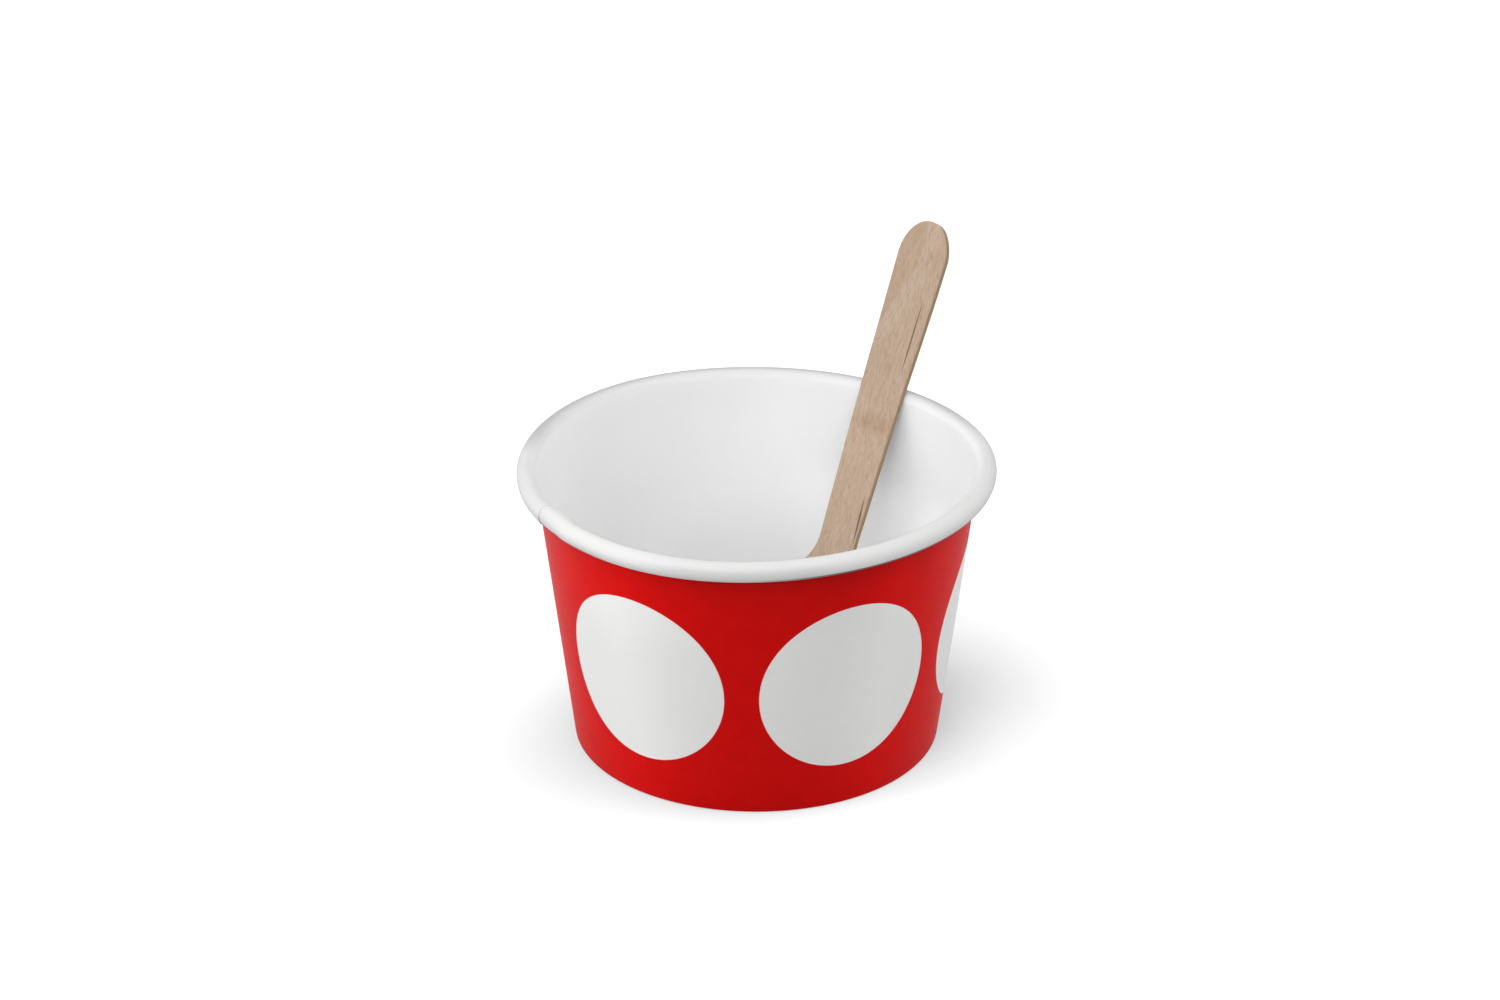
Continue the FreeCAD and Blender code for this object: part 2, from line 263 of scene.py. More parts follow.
# The cup isn't quite true. Waves round it: size in millimetres, count, start in radians
RIM_RISE = ((0.29, 1, 0.0), (0.25, 2, 0.0), (0.40, 2, 0.5 * math.pi), (0.05, 5, 0.8))
WALL_BOW = ((0.10, 2, 1.1), (0.07, 3, -0.6), (0.035, 7, 2.0))
RIM_OUT_OF_ROUND = ((0.04, 3, 0.0),)


def waves(turns, parts):
    """A sum of waves round the cup: size * cos(count * turn + start) for each part."""
    return sum(size * np.cos(count * turns + start) for size, count, start in parts)


def rim_warp(turns, heights):
    """How far the rim rises and falls: its waves times the height's share squared."""
    return waves(turns, RIM_RISE) * (heights / CUP_HEIGHT) ** 2


def wall_bow(turns, heights):
    """How far the wall is out of round: most in the middle of its height, less at the rim."""
    share = heights / CUP_HEIGHT
    bow = waves(turns, WALL_BOW) * np.sin(math.pi * np.clip(share, 0, 1))
    return bow + waves(turns, RIM_OUT_OF_ROUND) * share


# degrees on each side of the seam's edge within which the lapped layer steps up
SEAM_STEP = 0.012


def make_side_wall(material):
    """The paper sheet as its section swept round the axis.

    A point is section(s) moved along the section's normal by lap(turn) * lift(s). The
    lap rises at the seam in one step and fades out past the lap's width.
    """
    section = sheet_section()
    normal = section_normals(section[:, :2])
    seam = math.radians(SEAM_TURN)
    lap_end = seam + LAP_WIDTH / RIM_RADIUS
    fade_end = lap_end + LAP_FADE / RIM_RADIUS
    sharp = math.radians(SEAM_STEP)
    turns = np.concatenate([
        [seam - sharp, seam, seam + sharp],
        np.linspace(seam, fade_end, 16)[1:],
        np.linspace(fade_end, seam + 2 * math.pi - sharp, 470)[1:-1],
    ])
    lap = np.where(turns >= seam, 1.0 - smooth_step(lap_end, fade_end, turns), 0.0) * PAPER
    lift = lap[None, :] * section[:, 2][:, None]
    radius = section[:, 0][:, None] + lift * normal[:, 0][:, None]
    height = section[:, 1][:, None] + lift * normal[:, 1][:, None]
    radius = radius + wall_bow(turns[None, :], height)
    height = height + rim_warp(turns[None, :], height)
    points = np.stack([radius * np.cos(turns), radius * np.sin(turns), height], -1)
    rows, columns = radius.shape
    faces = grid_faces(rows, columns, True, True)
    values = {"printed": np.repeat(section[:, 3], columns),
              "rolled": np.repeat(section[:, 4], columns)}
    return make_piece("paper_wall", points.reshape(-1, 3), faces, material,
                      "side_wall", values)


# how deep the disc sags in its middle, and how unevenly round the cup
DISC_SAG = 0.12
DISC_SAG_WAVE = ((0.3, 2, 0.4),)


def make_bottom_disc(material):
    """The bottom disc: its section swept round the axis, very slightly sagged in the middle.

    The section runs out along the disc's top, down over its bend and its skirt, and back
    up inside to the middle. The sag falls from full at the middle to none at the bend.
    """
    depth = PAPER + SEAT_GAP
    bend = on_wall(depth + DISC_BEND, DISC_TOP - DISC_BEND)
    turns = np.linspace(0.5 * math.pi, -TAPER, 8)
    skirt_top = DISC_TOP - DISC_BEND * (1 + math.sin(TAPER))
    radii = np.linspace(0.0, bend[0], 22)
    section = np.concatenate([
        np.column_stack([radii, np.full_like(radii, DISC_TOP)]),
        on_arc(bend, DISC_BEND, turns[1:]),
        on_wall(depth, between(skirt_top, SKIRT_FOOT, 4, EDGE_CROWD)[1:]),
        on_wall(depth + PAPER, between(SKIRT_FOOT, skirt_top, 4, EDGE_CROWD)),
        on_arc(bend, DISC_BEND - PAPER, turns[::-1][1:]),
        np.column_stack([radii[::-1][1:], np.full(len(radii) - 1, DISC_TOP - PAPER)]),
    ])
    angles = np.linspace(0, 2 * math.pi, 241)[:-1]
    radius = np.repeat(section[:, 0][:, None], len(angles), 1)
    sag = DISC_SAG * (1 - smooth_step(0.0, bend[0], radius)) * (1 + waves(angles, DISC_SAG_WAVE))
    height = section[:, 1][:, None] - sag
    points = np.stack([radius * np.cos(angles), radius * np.sin(angles), height], -1)
    faces = grid_faces(*radius.shape, False, True)[:, ::-1]
    piece = make_piece("paper_bottom", points.reshape(-1, 3), faces, material,
                       "bottom_disc")
    weld(piece)
    return piece


def weld(piece):
    """Joins points that fall together, such as a disc's middle, and turns the faces outward."""
    work = bmesh.new()
    work.from_mesh(piece.data)
    bmesh.ops.remove_doubles(work, verts=work.verts, dist=1e-7)
    bmesh.ops.dissolve_degenerate(work, edges=work.edges, dist=1e-8)
    bmesh.ops.recalc_face_normals(work, faces=work.faces)
    work.to_mesh(piece.data)
    work.free()


def spoon_outline(steps):
    """Half the spoon's outline as points (across, along), from its foot to its handle's end.

    Round foot, straight blade side, two equal shoulder curves, tapered handle, and half
    an oval of arcs as its end: a side arc of radius d (d + e) / 2 b and a tip arc of
    radius d (d - e) / 2 a, with a its depth, b its half width, d^2 = a^2 + b^2, e = a - b.
    """
    blade, neck, handle = BLADE_WIDTH / 2, NECK_WIDTH / 2, HANDLE_WIDTH / 2
    drop = blade - neck
    run = math.sqrt(4 * drop * SHOULDER_RADIUS - drop * drop)
    bend = math.asin(run / (2 * SHOULDER_RADIUS))
    share = np.linspace(0, 1, steps)
    foot = -0.5 * math.pi + 0.5 * math.pi * share
    lower = bend * share
    upper = math.pi + bend * (1 - share)
    depth = HANDLE_END_DEPTH
    diagonal, excess = math.hypot(depth, handle), depth - handle
    tip = diagonal * (diagonal - excess) / (2 * depth)
    side = diagonal * (diagonal + excess) / (2 * handle)
    join = math.atan2(handle, depth)
    rise, top = join * share, join + (0.5 * math.pi - join) * share
    parts = [
        np.column_stack([blade * np.cos(foot), blade + blade * np.sin(foot)]),
        np.column_stack([blade - SHOULDER_RADIUS * (1 - np.cos(lower)),
                         BLADE_LENGTH - run + SHOULDER_RADIUS * np.sin(lower)]),
        np.column_stack([neck + SHOULDER_RADIUS * (1 + np.cos(upper)),
                         BLADE_LENGTH + SHOULDER_RADIUS * np.sin(upper)])[1:],
        np.column_stack([neck + (handle - neck) * share,
                         BLADE_LENGTH + (SPOON_LENGTH - depth - BLADE_LENGTH) * share])[1:],
        np.column_stack([handle - side * (1 - np.cos(rise)),
                         SPOON_LENGTH - depth + side * np.sin(rise)])[1:],
        np.column_stack([tip * np.cos(top), SPOON_LENGTH - tip * (1 - np.sin(top))])[1:],
    ]
    return np.concatenate(parts)


def lean_frame():
    """Where the spoon stands and its directions: start, across, along and front.

    The back face's plane holds the rim's direction at the lean turn and climbs steepest
    straight outward, past the roll. The middle line crosses the rim at the lean turn.
    """
    turn = math.radians(LEAN_TURN)
    outward = np.array([math.cos(turn), math.sin(turn), 0])
    aside = np.array([-math.sin(turn), math.cos(turn), 0])
    upright = np.array([0, 0, 1.0])
    foot_out = FOOT_ACROSS * outward[0] + FOOT_BACK * outward[1]
    foot_aside = FOOT_BACK * outward[0] - FOOT_ACROSS * outward[1]
    foot_height = DISC_TOP + REST_GAP
    run, rise = ROLL_REACH - foot_out, ROLL_HEIGHT - foot_height
    clear = ROLL_RADIUS + REST_GAP + ((HANDLE_WIDTH + NECK_WIDTH) / 4) ** 2 / (2 * ROLL_REACH)
    lean = math.acos(clear / math.hypot(run, rise)) - math.atan2(rise, run)
    steepest = outward * math.sin(lean) + upright * math.cos(lean)
    climb = math.sqrt(run * run + rise * rise - clear * clear)
    radius = BLADE_WIDTH / 2
    along = steepest * (climb - radius) - aside * foot_aside
    along /= np.linalg.norm(along)
    front = upright * math.sin(lean) - outward * math.cos(lean)
    across = np.cross(along, front)
    foot = outward * foot_out + aside * foot_aside + upright * foot_height
    start = foot + (steepest - along) * radius
    return start, across, along, front


# where the flat faces have rings, as shares of the way from the middle line to the outline
RING_SHARES = (0.0, 0.25, 0.5, 0.7, 0.85)
# How far the real spoon strays from the true shape, in millimetres, and between which
# places along it: wider on a stretch of its handle, bowed aside and back again at its end
SPOON_SWELL = 0.15
SWELL_STARTS = (56.0, 68.0)
SWELL_ENDS = (80.0, 90.0)
SIDE_BOW = 0.36
SIDE_BOW_STRETCH = (50.0, 84.0)
END_BOW = 0.18
END_BOW_STRETCH = (87.0, 93.0)
# the right edge's slant, for all of the spoon that is further out than this
EDGE_SLANT = 0.16
SLANT_FROM = 2.0
# twist per millimetre across, none at this share of the length
TWIST = 0.012
TWIST_MIDDLE = 0.6
FRONT_BOW = 0.06
FRONT_BOW_START = 20.0


def make_spoon(material):
    """The spoon: closed rings from the middle of its front face, round its edge, to its back.

    A ring is the outline drawn in towards the spoon's middle line by a share, at a depth.
    The edges are rounded, and the wood is a very little swollen, twisted and bowed. The
    right edge slants outward to the back, so it shows as a band.
    """
    half = spoon_outline(20)
    mirrored = half[::-1][1:-1] * [-1, 1]
    outline = np.concatenate([half, mirrored])
    inward = np.clip(outline[:, 1], BLADE_WIDTH / 2, SPOON_LENGTH - HANDLE_WIDTH / 2)
    middle = np.column_stack([np.zeros(len(outline)), inward])
    reach = np.linalg.norm(outline - middle, axis=1, keepdims=True)
    away = (outline - middle) / reach
    turns = np.radians(np.linspace(0, 90, 5))
    inner = [(share, 0.0, SPOON_THICKNESS) for share in RING_SHARES]
    front = [(1.0, FRONT_EDGE * (1 - math.sin(t)), SPOON_THICKNESS - SPOON_EDGE * (1 - math.cos(t)))
             for t in turns]
    back = [(1.0, SPOON_EDGE * (1 - math.cos(t)), SPOON_EDGE * (1 - math.sin(t))) for t in turns]
    outer = [(share, 0.0, 0.0) for share in RING_SHARES[::-1]]
    rings = []
    for share, inset, depth in inner + front + back + outer:
        flat = middle + (outline - middle) * share - away * inset
        rings.append(np.column_stack([flat, np.full(len(flat), depth)]))
    place = np.concatenate(rings)
    length_place = place[:, 1]
    wide = SPOON_SWELL * (smooth_step(*SWELL_STARTS, length_place)
                          - smooth_step(*SWELL_ENDS, length_place))
    slant = EDGE_SLANT * (1.0 - place[:, 2] / SPOON_THICKNESS) * (place[:, 0] > SLANT_FROM)
    aside = (SIDE_BOW * smooth_step(*SIDE_BOW_STRETCH, length_place)
             - END_BOW * smooth_step(*END_BOW_STRETCH, length_place))
    place[:, 0] += place[:, 0] / HANDLE_WIDTH * wide + slant + aside
    twist = TWIST * (length_place / SPOON_LENGTH - TWIST_MIDDLE) * place[:, 0]
    bowed = np.clip((length_place - FRONT_BOW_START) / SPOON_LENGTH, 0, 1)
    bow = FRONT_BOW * np.sin(math.pi * bowed) ** 2
    start, across, along, front_way = lean_frame()
    points = (start + place[:, :1] * across + place[:, 1:2] * along
              + (place[:, 2:3] + twist[:, None] + bow[:, None]) * front_way)
    faces = grid_faces(len(rings), len(outline), False, True)
    piece = make_piece("wooden_spoon", points, faces, material, "spoon",
                       {"grain": place * MM})
    weld(piece)
    return piece


# Materials


def new_material(name):
    """An empty node material, with its tree and its principled shader."""
    material = bpy.data.materials.new(name)
    material.use_nodes = True
    tree = material.node_tree
    return material, tree, tree.nodes["Principled BSDF"]


def add(tree, kind, settings=None, inputs=None):
    """Adds a node, sets its properties and values, and links sockets given as inputs."""
    node = tree.nodes.new(kind)
    for key, value in (settings or {}).items():
        setattr(node, key, value)
    for key, value in (inputs or {}).items():
        if isinstance(value, bpy.types.NodeSocket):
            tree.links.new(value, node.inputs[key])
        else:
            node.inputs[key].default_value = value
    return node


def maths(tree, operation, *values, clamp=False):
    """One sum of the shader's maths node."""
    node = add(tree, "ShaderNodeMath", {"operation": operation, "use_clamp": clamp},
               dict(enumerate(values)))
    return node.outputs[0]


def product(tree, first, second):
    """One value times another."""
    return maths(tree, "MULTIPLY", first, second)


def noise(tree, place, scale, detail=2.0, roughness=0.5):
    """A noise value from 0 to 1 over a place."""
    node = add(tree, "ShaderNodeTexNoise", {}, {"Vector": place, "Scale": scale, "Detail": detail,
                                                "Roughness": roughness})
    return node.outputs["Fac"]


def ramp(tree, value, low, high, out_low=0.0, out_high=1.0):
    """A value's share between two limits, smoothed and clamped."""
    node = add(tree, "ShaderNodeMapRange", {"interpolation_type": "SMOOTHSTEP"},
               {"Value": value, "From Min": low, "From Max": high,
                "To Min": out_low, "To Max": out_high})
    return node.outputs["Result"]


def ramp_mm(tree, value, low, high, out_low=0.0, out_high=1.0):
    """A ramp of a length, with its limits in millimetres."""
    return ramp(tree, value, low * MM, high * MM, out_low, out_high)


def ramp_turn(tree, turn, low, high, out_low=0.0, out_high=1.0):
    """A ramp of the turn round the cup, with its limits in degrees."""
    return ramp(tree, turn, math.radians(low), math.radians(high), out_low, out_high)


def window(tree, turn, stretch):
    """1 on a stretch of the turn: it sets in, is full, begins to fade and is gone, in degrees."""
    start, full, fade, gone = stretch
    return product(tree, ramp_turn(tree, turn, start, full),
                   ramp_turn(tree, turn, fade, gone, 1.0, 0.0))


def turned_past(tree, turn, centre):
    """How far a turn is past a centre given in degrees, in radians from -pi to pi."""
    past = maths(tree, "SUBTRACT", turn, math.radians(centre))
    return maths(tree, "WRAP", past, math.pi, -math.pi)


def length(tree, vector):
    """The length of a vector."""
    node = add(tree, "ShaderNodeVectorMath", {"operation": "LENGTH"}, {0: vector})
    return node.outputs["Value"]


def away_from(tree, place, reach, turn, height):
    """How far a place is from a point of the cup: reach, turn in degrees and height."""
    angle = math.radians(turn)
    spot = (reach * math.cos(angle) * MM, reach * math.sin(angle) * MM, height * MM)
    node = add(tree, "ShaderNodeVectorMath", {"operation": "DISTANCE"}, {0: place, 1: spot})
    return node.outputs["Value"]


def mix_colour(tree, share, first, second):
    """A blend of two colours."""
    node = add(tree, "ShaderNodeMix", {"data_type": "RGBA"}, {0: share, 6: first, 7: second})
    return node.outputs[2]


def scaled(tree, colour, share):
    """A colour times a value."""
    node = add(tree, "ShaderNodeVectorMath", {"operation": "SCALE"}, {0: colour, "Scale": share})
    return node.outputs[0]


def stretched(tree, place, scale):
    """A place scaled differently along each axis."""
    return add(tree, "ShaderNodeMapping", {}, {"Vector": place, "Scale": scale}).outputs[0]


def finish_shader(tree, shader, colour, roughness, bump, height, shine):
    """Links a surface's colour, roughness and bumped normal, and sets its plain shine."""
    tree.links.new(colour, shader.inputs["Base Color"])
    tree.links.new(roughness, shader.inputs["Roughness"])
    strength, depth = bump
    node = add(tree, "ShaderNodeBump", {},
               {"Strength": strength, "Distance": depth * MM, "Height": height})
    tree.links.new(node.outputs[0], shader.inputs["Normal"])
    shader.inputs["Specular IOR Level"].default_value = shine


# Paper

# noise cells per metre
FIBRE_CELLS = 2600.0
CLOUD_CELLS = 420.0
BROAD_CELLS = 60.0
INK_GRAIN_CELLS = 3600.0
INK_CLOUD_CELLS = 260.0
PRINT_EDGE_CELLS = 5200.0
SCUFF_CELLS = 1500.0

# Ramps over a noise: from, to, value at the first, value at the second
FIBRE_ROUGHNESS = (0.3, 0.7, 0.42, 0.55)
INK_GRAIN = (0.35, 0.7, 0.0, 0.55)
INK_CLOUDS = (0.3, 0.7, 0.0, 0.25)
SCUFF_PATCHES = (0.42, 0.68, 0.0, 0.28)
# how much the fine fibres and the ink's grain raise the surface, beside the broad fibres
FIBRE_HEIGHT = 0.35
INK_HEIGHT = 0.4
# strength, and depth in millimetres
PAPER_BUMP = (0.35, 0.03)

PAPER_WHITE = (0.880, 0.880, 0.880, 1.0)
PAPER_SHADE = (0.840, 0.840, 0.840, 1.0)
PRINT_WHITE = (0.822, 0.822, 0.814, 1.0)
PRINT_SHADE = (0.766, 0.766, 0.758, 1.0)
INK_RED = (0.652, 0.0020, 0.0016, 1.0)
INK_RED_DEEP = (0.528, 0.0008, 0.0007, 1.0)
# what the red throws back at its surroundings, so that it doesn't tint them
INK_BOUNCE = (0.16, 0.15, 0.15, 1.0)
# painted shade: the roll is the same white paper as the inside, darkened so that its lit top stays
# below white
RIM_SHADED_WHITE = (0.716, 0.716, 0.712)
# painted shade along the rim's outline
RIM_EDGE_SHADE = (0.42, 0.42, 0.42, 1.0)
# painted shade: a dark grey put under the roll where the crease beneath it is in shadow
UNDER_ROLL_SHADE = (0.060, 0.060, 0.060, 1.0)
SEAM_SHADE = (0.22, 0.22, 0.22, 1.0)
SEAM_SHARE = 0.42
# off the seam's edge in millimetres, where its shadow is full and where it has gone
SEAM_FADE = (0.06, 0.26)
PRINT_SHINE = 0.058
BOTTOM_SHINE = 0.16

# the discs' edge: how far it strays and how soft it is, in millimetres
PRINT_STRAY = 0.06
PRINT_SOFT = 0.09
# where the printed outer face gives way to the white one
PRINT_END = (0.45, 0.55)

# the rubbed mark: its turn, its radius and the share of the radius that it fills
SCUFF = (0.62, 0.62, 0.61, 1.0)
SCUFF_TURN = 336.0
SCUFF_SIZE = 1.5
SCUFF_CORE = 0.45
# small grey specks on the coated paper: turn in degrees, height and radius in millimetres
SPECKS = ((196.0, 52.5, 0.16), (22.0, 30.0, 0.22), (60.0, 44.0, 0.14), (118.0, 38.0, 0.15))
SPECK_SHARE = 0.35

# Stretches of the turn round the cup, in degrees: where a painted light or shade sets in, is
# full, begins to fade and has gone
FAR_SIDE = (8.0, 35.0, 162.0, 178.0)
FRONT_RIM = (-122.0, -106.0, -80.0, -66.0)
LEFT_RIM = (-160.0, -138.0, -122.0, -104.0)
RIGHT_WALL = (0.0, 22.0, 62.0, 85.0)
FAR_WALL = (62.0, 88.0, 105.0, 130.0)
LEFT_PRINT = (-168.0, -145.0, -120.0, -94.0)
# the left wall's painted light: its middle, and how far from it the light is full and has gone
LEFT_WALL_MIDDLE = 190.0
LEFT_WALL_FADE = (8.0, 58.0)
# painted light (above 0) and painted shade (below 0) as shares of the brightness
FRONT_RIM_SHADE = -0.10
LEFT_RIM_LIGHT = 0.08
LEFT_WALL_LIGHT = 0.08
# painted light and shade between two heights in millimetres: low, high, tone at the low one,
# at the high one
RIGHT_WALL_LIGHT_AND_SHADE = (33.0, 45.0, 0.10, -0.05)
FAR_WALL_SHADE = (18.0, 34.0, -0.065, 0.0)
LEFT_PRINT_LIGHT = (30.0, 60.0, 0.04, 0.22)
# the far roll's painted shade between two turns round the cup
FAR_ROLL_SHADE = (110.0, 158.0, -0.08, -0.12)
# painted shade under the roll between two turns round the cup, to the right and to the left
UNDER_RIGHT = (-94.0, -68.0, 0.0, 0.94)
UNDER_LEFT = (-140.0, -122.0, 0.8, 0.0)
# turns over the roll: where the far roll's painted shade sets in, and where the wall's painted
# light and shade have gone
FAR_ROLL_START, FAR_ROLL_FULL = 2.0, 30.0
WALL_TONE_END = 15.0
# painted shade on the rim's edges and a painted sheen on the print, by how far the surface
# turns away from the view: from, to, tone at the first, at the second
FAR_EDGE_TURN = (0.15, 0.90, 0.0, 0.74)
RIM_EDGE_TURN = (0.72, 0.95, 0.0, 0.5)
RED_SHEEN = (0.2, 0.42, 0.90, 1.115)
DISC_SHEEN = (0.2, 0.42, 0.93, 1.07)


def paper_group():
    """Shared board surface: fibre height, a faint tone and a roughness from one place."""
    group = bpy.data.node_groups.new("paper_surface", "ShaderNodeTree")
    face = group.interface
    face.new_socket("Place", in_out="INPUT", socket_type="NodeSocketVector")
    for name in ("Height", "Tone", "Roughness"):
        face.new_socket(name, in_out="OUTPUT", socket_type="NodeSocketFloat")
    entry = group.nodes.new("NodeGroupInput")
    leave = group.nodes.new("NodeGroupOutput")
    place = entry.outputs["Place"]
    fine = noise(group, place, FIBRE_CELLS, 3.0, 0.6)
    cloud = noise(group, place, CLOUD_CELLS, 3.0, 0.55)
    broad = noise(group, place, BROAD_CELLS, 2.0, 0.5)
    height = maths(group, "MULTIPLY_ADD", fine, FIBRE_HEIGHT, cloud)
    tone = maths(group, "ADD", product(group, cloud, 0.5), product(group, broad, 0.5))
    group.links.new(height, leave.inputs["Height"])
    group.links.new(tone, leave.inputs["Tone"])
    group.links.new(ramp(group, fine, *FIBRE_ROUGHNESS), leave.inputs["Roughness"])
    return group


def disc_mask(tree, place, turn, up):
    """1 inside the printed discs, which are true circles on the wall laid out flat.

    Laid out, the wall is a ring sector. A place on it is the slant from the cone's tip,
    and the turn from the nearest disc's middle times sin(taper) times the slant.
    """
    pitch = math.radians(DISC_PITCH)
    past = turned_past(tree, turn, FIRST_DISC_TURN + DISC_PITCH * (DISC_COUNT - 1) / 2)
    nearest = maths(tree, "ROUND", maths(tree, "DIVIDE", past, pitch))
    last = (DISC_COUNT - 1) / 2
    nearest = maths(tree, "MINIMUM", maths(tree, "MAXIMUM", nearest, -last), last)
    aside = maths(tree, "SUBTRACT", past, product(tree, nearest, pitch))
    slant = maths(tree, "MULTIPLY_ADD", up, 1 / math.cos(TAPER),
                  BASE_RADIUS * MM / math.sin(TAPER))
    middle = (BASE_RADIUS / math.sin(TAPER) + DISC_HEIGHT / math.cos(TAPER)) * MM
    above = maths(tree, "SUBTRACT", slant, middle)
    along = product(tree, product(tree, aside, math.sin(TAPER)), slant)
    spot = add(tree, "ShaderNodeCombineXYZ", {}, {"X": above, "Y": along}).outputs[0]
    stray = maths(tree, "MULTIPLY_ADD", noise(tree, place, PRINT_EDGE_CELLS),
                  PRINT_STRAY * MM, -PRINT_STRAY * MM / 2)
    return ramp_mm(tree, maths(tree, "ADD", length(tree, spot), stray),
                   DISC_RADIUS - PRINT_SOFT, DISC_RADIUS + PRINT_SOFT, 1.0, 0.0)


def scuff_mask(tree, place):
    """A faint rubbed mark on the roll, and a few small specks inside the cup."""
    away = away_from(tree, place, ROLL_REACH, SCUFF_TURN, CUP_HEIGHT)
    rub = ramp_mm(tree, away, SCUFF_SIZE * SCUFF_CORE, SCUFF_SIZE, 1.0, 0.0)
    share = product(tree, rub, ramp(tree, noise(tree, place, SCUFF_CELLS), *SCUFF_PATCHES))
    for turn, height, radius in SPECKS:
        reach = BASE_RADIUS + height * math.tan(TAPER) - PAPER
        away = away_from(tree, place, reach, turn, height)
        share = maths(tree, "MAXIMUM", share, ramp_mm(tree, away, 0.0, radius, SPECK_SHARE, 0.0))
    return share


def rim_light_and_shade(tree, turn, over):
    """Painted light and shade on the roll round the cup: shade low at the front, light at its left.
    """
    low = product(tree, window(tree, turn, FRONT_RIM), ramp(tree, over, LOWER_START, LOWER_FULL))
    high = product(tree, window(tree, turn, LEFT_RIM),
                   ramp(tree, over, LOWER_FULL, UNDER_START, 1.0, 0.0))
    tone = maths(tree, "MULTIPLY_ADD", low, FRONT_RIM_SHADE, 1.0)
    return maths(tree, "MULTIPLY_ADD", high, LEFT_RIM_LIGHT, tone)


def inner_light_and_shade(tree, turn, up, over):
    """Painted light and shade on the white side: a little darker or brighter on four stretches of
    the turn.

    The far roll has painted shade, the wall's right painted light low down and painted shade
    high up, its left painted light, and its far side painted shade low down.
    """
    far = product(tree, window(tree, turn, FAR_SIDE),
                  ramp(tree, over, FAR_ROLL_START, FAR_ROLL_FULL))
    tone = maths(tree, "MULTIPLY_ADD", far, ramp_turn(tree, turn, *FAR_ROLL_SHADE), 1.0)
    wall = ramp(tree, over, 0.0, WALL_TONE_END, 1.0, 0.0)
    right = product(tree, window(tree, turn, RIGHT_WALL), wall)
    tone = maths(tree, "MULTIPLY_ADD", right, ramp_mm(tree, up, *RIGHT_WALL_LIGHT_AND_SHADE), tone)
    apart = maths(tree, "ABSOLUTE", turned_past(tree, turn, LEFT_WALL_MIDDLE))
    left = ramp_turn(tree, apart, *LEFT_WALL_FADE, LEFT_WALL_LIGHT, 0.0)
    tone = maths(tree, "MULTIPLY_ADD", left, wall, tone)
    low = product(tree, ramp_mm(tree, up, *FAR_WALL_SHADE), wall)
    return maths(tree, "MULTIPLY_ADD", window(tree, turn, FAR_WALL), low, tone)


def seam_line(tree, turn):
    """1 on the narrow shadow beside the proud edge of the sheet, across the roll."""
    past = product(tree, turned_past(tree, turn, SEAM_TURN), RIM_RADIUS)
    return ramp(tree, maths(tree, "ABSOLUTE", past), *SEAM_FADE, 1.0, 0.0)


def white_side(tree, place, board, turn, up, facing):
    """Colour of the white side: plain paper on the wall and the roll, painted shade on the roll,
    painted light and shade round the cup, painted shadow under the roll and beside the seam,
    painted shade on the rim's edges, and a rubbed mark.
    """
    over = add(tree, "ShaderNodeAttribute", {"attribute_name": "rolled"}).outputs["Fac"]
    rolled = ramp(tree, over, ROLL_SHADE_START, ROLL_SHADE_FULL)
    white = mix_colour(tree, board["Tone"], PAPER_WHITE, PAPER_SHADE)
    # painted shade on the roll, with painted light and shade round the cup
    white = mix_colour(tree, rolled, white, scaled(tree, RIM_SHADED_WHITE, rim_light_and_shade(tree, turn, over)))
    # painted light and shade on the inside wall and the far roll
    white = scaled(tree, white, inner_light_and_shade(tree, turn, up, over))
    # painted shade under the roll, strongest at the front right
    shade = maths(tree, "MAXIMUM", ramp_turn(tree, turn, *UNDER_RIGHT),
                  ramp_turn(tree, turn, *UNDER_LEFT))
    under = product(tree, ramp(tree, over, UNDER_START, UNDER_FULL), shade)
    white = mix_colour(tree, under, white, UNDER_ROLL_SHADE)
    line = product(tree, seam_line(tree, turn), rolled)
    white = mix_colour(tree, product(tree, line, SEAM_SHARE), white, SEAM_SHADE)
    # painted shade along the rim's outline, darker where it turns away from the view
    far_edge = product(tree, ramp(tree, facing, *FAR_EDGE_TURN), window(tree, turn, FAR_SIDE))
    edge = maths(tree, "MAXIMUM", ramp(tree, facing, *RIM_EDGE_TURN), far_edge)
    white = mix_colour(tree, product(tree, edge, rolled), white, RIM_EDGE_SHADE)
    return mix_colour(tree, scuff_mask(tree, place), white, SCUFF)


def printed_side(tree, place, board, turn, up, facing, grain):
    """Colour of the print: slightly cloudy red with white discs, with a painted sheen that makes it
    brighter where it turns away, and painted light on its left.
    """
    cloud = noise(tree, place, INK_CLOUD_CELLS, 3.0)
    ink_share = maths(tree, "ADD", ramp(tree, grain, *INK_GRAIN), ramp(tree, cloud, *INK_CLOUDS))
    red = mix_colour(tree, ink_share, INK_RED, INK_RED_DEEP)
    # painted sheen: the red and the discs are darker facing the view and brighter turned away
    red = scaled(tree, red, ramp(tree, facing, *RED_SHEEN))
    bounced = add(tree, "ShaderNodeLightPath").outputs["Is Diffuse Ray"]
    red = mix_colour(tree, bounced, red, INK_BOUNCE)
    disc = mix_colour(tree, board["Tone"], PRINT_WHITE, PRINT_SHADE)
    disc = scaled(tree, disc, ramp(tree, facing, *DISC_SHEEN))
    outside = mix_colour(tree, disc_mask(tree, place, turn, up), red, disc)
    # painted light: the print is a little brighter on its left, most of all just under the rim
    tone = maths(tree, "MULTIPLY_ADD", window(tree, turn, LEFT_PRINT),
                 ramp_mm(tree, up, *LEFT_PRINT_LIGHT), 1.0)
    return scaled(tree, outside, tone)


